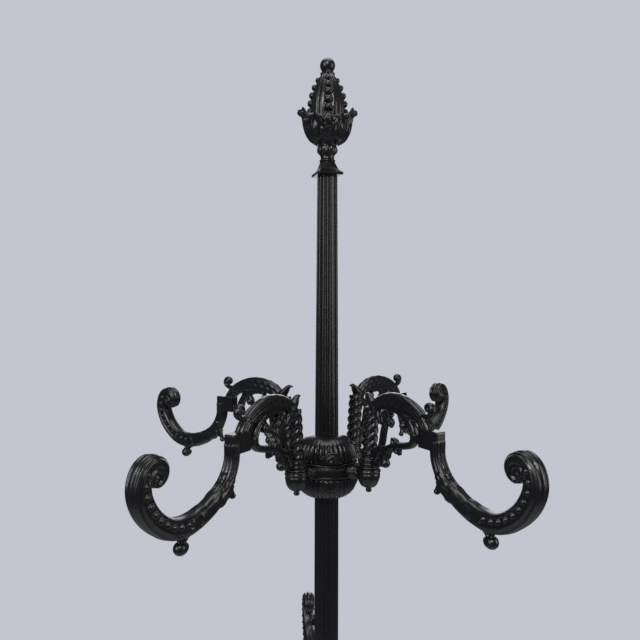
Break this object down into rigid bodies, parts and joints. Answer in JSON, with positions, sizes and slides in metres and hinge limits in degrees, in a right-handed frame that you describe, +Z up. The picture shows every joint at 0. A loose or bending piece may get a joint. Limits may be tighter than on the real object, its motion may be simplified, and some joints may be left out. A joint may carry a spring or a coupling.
{
  "type": "standing coat rack",
  "caption": "Tall cast-iron coat rack with a fluted column, two tiers of swivelling scroll hooks, a pine cone finial and a four-legged base.",
  "frame": {"origin": "on the floor under the column axis, level with the undersides of the foot pads", "axes": "+Z up along the column; +X and -X, +Y and -Y run out along the sockets of the lower tier, and the upper sockets lie on the diagonals; -Y is the front"},
  "size_m": [0.667, 0.6668, 1.82],
  "materials": {
    "black_enamel": "gloss black enamel brushed over sand-cast iron",
    "plain_steel": "plain zinc-plated steel",
    "rubber_pad": "matt black"
  },
  "bodies": {
    "stand": {"finial": "black_enamel", "column_cap": "black_enamel", "upper_column": "black_enamel", "upper_hub_crown": "black_enamel", "upper_hub_socket_ring": "black_enamel", "upper_hub_bowl": "black_enamel", "middle_column": "black_enamel", "lower_hub_crown": "black_enamel", "lower_hub_socket_ring": "black_enamel", "lower_hub_bowl": "black_enamel", "lower_column": "black_enamel", "base_collar": "black_enamel", "base_dome": "black_enamel", "base_drum": "black_enamel", "leg_front_right": "black_enamel", "leg_front_left": "black_enamel", "leg_rear_right": "black_enamel", "leg_rear_left": "black_enamel", "leg_bolts": "plain_steel", "foot_pads": "rubber_pad", "tie_rod": "plain_steel", "tie_rod_nut": "plain_steel", "tie_rod_washer": "plain_steel"},
    "upper_arm_front_right": {"upper_arm_front_right": "black_enamel"},
    "upper_arm_front_left": {"upper_arm_front_left": "black_enamel"},
    "upper_arm_rear_right": {"upper_arm_rear_right": "black_enamel"},
    "upper_arm_rear_left": {"upper_arm_rear_left": "black_enamel"},
    "lower_arm_front": {"lower_arm_front": "black_enamel"},
    "lower_arm_right": {"lower_arm_right": "black_enamel"},
    "lower_arm_rear": {"lower_arm_rear": "black_enamel"},
    "lower_arm_left": {"lower_arm_left": "black_enamel"}
  },
  "joints": [
    {"name": "upper_front_right_swivel", "type": "hinge", "parent": "stand", "child": "upper_arm_front_right", "pos_m": [0.04639, -0.04639, 1.289], "axis": [0, 0, 1], "range_deg": [-17.5, 62.5]},
    {"name": "upper_front_left_swivel", "type": "hinge", "parent": "stand", "child": "upper_arm_front_left", "pos_m": [-0.04639, -0.04639, 1.289], "axis": [0, 0, 1], "range_deg": [-44.5, 35.5]},
    {"name": "upper_rear_right_swivel", "type": "hinge", "parent": "stand", "child": "upper_arm_rear_right", "pos_m": [0.04639, 0.04639, 1.289], "axis": [0, 0, 1], "range_deg": [-35.5, 44.5]},
    {"name": "upper_rear_left_swivel", "type": "hinge", "parent": "stand", "child": "upper_arm_rear_left", "pos_m": [-0.04639, 0.04639, 1.289], "axis": [0, 0, 1], "range_deg": [-40.5, 39.5]},
    {"name": "lower_front_swivel", "type": "hinge", "parent": "stand", "child": "lower_arm_front", "pos_m": [0, -0.0656, 0.889], "axis": [0, 0, 1], "range_deg": [-35, 45]},
    {"name": "lower_right_swivel", "type": "hinge", "parent": "stand", "child": "lower_arm_right", "pos_m": [0.0656, 0, 0.889], "axis": [0, 0, 1], "range_deg": [-40, 40]},
    {"name": "lower_rear_swivel", "type": "hinge", "parent": "stand", "child": "lower_arm_rear", "pos_m": [0, 0.0656, 0.889], "axis": [0, 0, 1], "range_deg": [-35, 45]},
    {"name": "lower_left_swivel", "type": "hinge", "parent": "stand", "child": "lower_arm_left", "pos_m": [-0.0656, 0, 0.889], "axis": [0, 0, 1], "range_deg": [-40, 40]}
  ]
}
